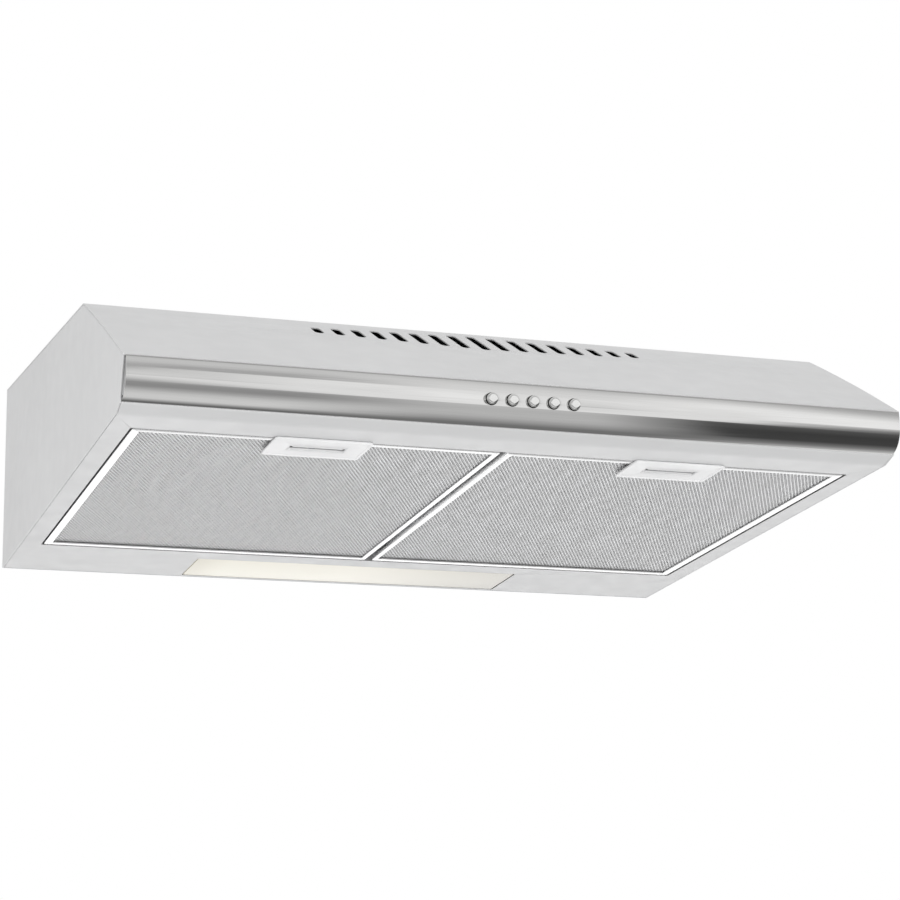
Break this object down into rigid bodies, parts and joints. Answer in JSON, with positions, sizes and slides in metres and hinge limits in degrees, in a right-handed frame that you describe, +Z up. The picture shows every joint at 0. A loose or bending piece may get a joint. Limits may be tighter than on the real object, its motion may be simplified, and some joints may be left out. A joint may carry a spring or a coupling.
{
  "type": "under cabinet range hood",
  "caption": "Slim under-cabinet cooker hood: sloped vented front, polished control strip, push buttons, hinged grease filters, lamp, blower and duct outlet.",
  "frame": {"origin": "on the top face that meets the cabinet, at the middle of the width and of the depth", "axes": "+X to the right as seen from the front, +Y to the wall, +Z up"},
  "size_m": [0.598, 0.4878, 0.182],
  "materials": {
    "painted_steel": "satin light grey powder coat",
    "polished_steel": "polished",
    "galvanised_steel": "zinc-coated",
    "aluminium": "bright satin",
    "aluminium_mesh": "expanded mesh",
    "pale_plastic": "satin",
    "button_chrome": "metallised",
    "lens_plastic": "translucent, frosted",
    "black_plastic": "moulded",
    "rubber": "matte",
    "dark_steel": "ground",
    "winding_copper": "enamelled wire and laminations",
    "lamp_glass": "frosted"
  },
  "bodies": {
    "hood": {"canopy_shell": "painted_steel", "side_panel_left": "painted_steel", "side_panel_right": "painted_steel", "back_panel": "galvanised_steel", "underside_frame": "painted_steel", "front_strip": "polished_steel", "centre_rail": "galvanised_steel", "switch_block": "black_plastic", "switch_bracket": "galvanised_steel", "lamp_tray": "galvanised_steel", "lamp_holder": "pale_plastic", "lamp_bulb": "lamp_glass", "scroll_housing": "black_plastic", "blower_mount_1": "rubber", "blower_mount_2": "rubber", "blower_mount_3": "rubber", "blower_screw_1": "galvanised_steel", "blower_screw_2": "galvanised_steel", "blower_screw_3": "galvanised_steel", "scroll_inlet_plate": "black_plastic", "inlet_guard": "galvanised_steel", "motor_can": "galvanised_steel", "motor_end_shield": "galvanised_steel", "stator": "winding_copper", "upper_bearing": "dark_steel", "lower_bearing": "dark_steel", "air_box": "galvanised_steel", "vent_duct": "black_plastic", "outlet_collar": "black_plastic", "damper_pin": "galvanised_steel", "cable_grommet": "rubber", "terminal_box": "pale_plastic", "terminal_cover": "pale_plastic", "capacitor": "pale_plastic"},
    "button_off": {"button_off": "button_chrome"},
    "button_speed_1": {"button_speed_1": "button_chrome"},
    "button_speed_2": {"button_speed_2": "button_chrome"},
    "button_speed_3": {"button_speed_3": "button_chrome"},
    "button_light": {"button_light": "button_chrome"},
    "filter_left": {"filter_frame_left": "aluminium", "filter_mesh_left": "aluminium_mesh", "latch_housing_left": "pale_plastic", "latch_spring_left": "galvanised_steel"},
    "latch_left": {"latch_slider_left": "pale_plastic"},
    "filter_right": {"filter_frame_right": "aluminium", "filter_mesh_right": "aluminium_mesh", "latch_housing_right": "pale_plastic", "latch_spring_right": "galvanised_steel"},
    "latch_right": {"latch_slider_right": "pale_plastic"},
    "lamp_cover": {"lamp_cover": "lens_plastic"},
    "impeller": {"impeller": "black_plastic", "rotor": "dark_steel", "motor_shaft": "galvanised_steel", "hub_nut": "galvanised_steel"},
    "recirculation_flap": {"recirculation_flap": "galvanised_steel", "flap_lever": "black_plastic"},
    "damper_left": {"damper_flap_left": "black_plastic"},
    "damper_right": {"damper_flap_right": "black_plastic"}
  },
  "joints": [
    {"name": "button_off_press", "type": "slide", "parent": "hood", "child": "button_off", "axis": [0, 1, 0], "range_m": [0, 0.003], "stiffness_N_per_m": 250},
    {"name": "button_speed_1_press", "type": "slide", "parent": "hood", "child": "button_speed_1", "axis": [0, 1, 0], "range_m": [0, 0.003], "stiffness_N_per_m": 250},
    {"name": "button_speed_2_press", "type": "slide", "parent": "hood", "child": "button_speed_2", "axis": [0, 1, 0], "range_m": [0, 0.003], "stiffness_N_per_m": 250},
    {"name": "button_speed_3_press", "type": "slide", "parent": "hood", "child": "button_speed_3", "axis": [0, 1, 0], "range_m": [0, 0.003], "stiffness_N_per_m": 250},
    {"name": "button_light_press", "type": "slide", "parent": "hood", "child": "button_light", "axis": [0, 1, 0], "range_m": [0, 0.003], "stiffness_N_per_m": 250},
    {"name": "filter_left_drop", "type": "hinge", "parent": "hood", "child": "filter_left", "pos_m": [-0.141, 0.15397, -0.14577], "axis": [1, 0, 0], "range_deg": [0, 75]},
    {"name": "latch_left_pull", "type": "slide", "parent": "filter_left", "child": "latch_left", "axis": [0, 0.9946, -0.1042], "range_m": [0, 0.006], "stiffness_N_per_m": 300, "deforming": ["latch_spring_left"]},
    {"name": "filter_right_drop", "type": "hinge", "parent": "hood", "child": "filter_right", "pos_m": [0.141, 0.15397, -0.14577], "axis": [1, 0, 0], "range_deg": [0, 75]},
    {"name": "latch_right_pull", "type": "slide", "parent": "filter_right", "child": "latch_right", "axis": [0, 0.9946, -0.1042], "range_m": [0, 0.006], "stiffness_N_per_m": 300, "deforming": ["latch_spring_right"]},
    {"name": "lamp_cover_drop", "type": "hinge", "parent": "hood", "child": "lamp_cover", "pos_m": [0, 0.23602, -0.15437], "axis": [1, 0, 0], "range_deg": [0, 75]},
    {"name": "impeller_spin", "type": "hinge", "parent": "hood", "child": "impeller", "pos_m": [-0.165, 0.095, -0.05], "axis": [0, 0, 1], "continuous": true},
    {"name": "recirculation_flap_turn", "type": "hinge", "parent": "hood", "child": "recirculation_flap", "pos_m": [0, -0.0115, -0.063], "axis": [-1, 0, 0], "range_deg": [0, 75]},
    {"name": "damper_left_lift", "type": "hinge", "parent": "hood", "child": "damper_left", "pos_m": [-0.003, 0.1, 0.01], "axis": [0, 1, 0], "range_deg": [0, 75]},
    {"name": "damper_right_lift", "type": "hinge", "parent": "hood", "child": "damper_right", "pos_m": [0.003, 0.1, 0.01], "axis": [0, -1, 0], "range_deg": [0, 75]}
  ]
}
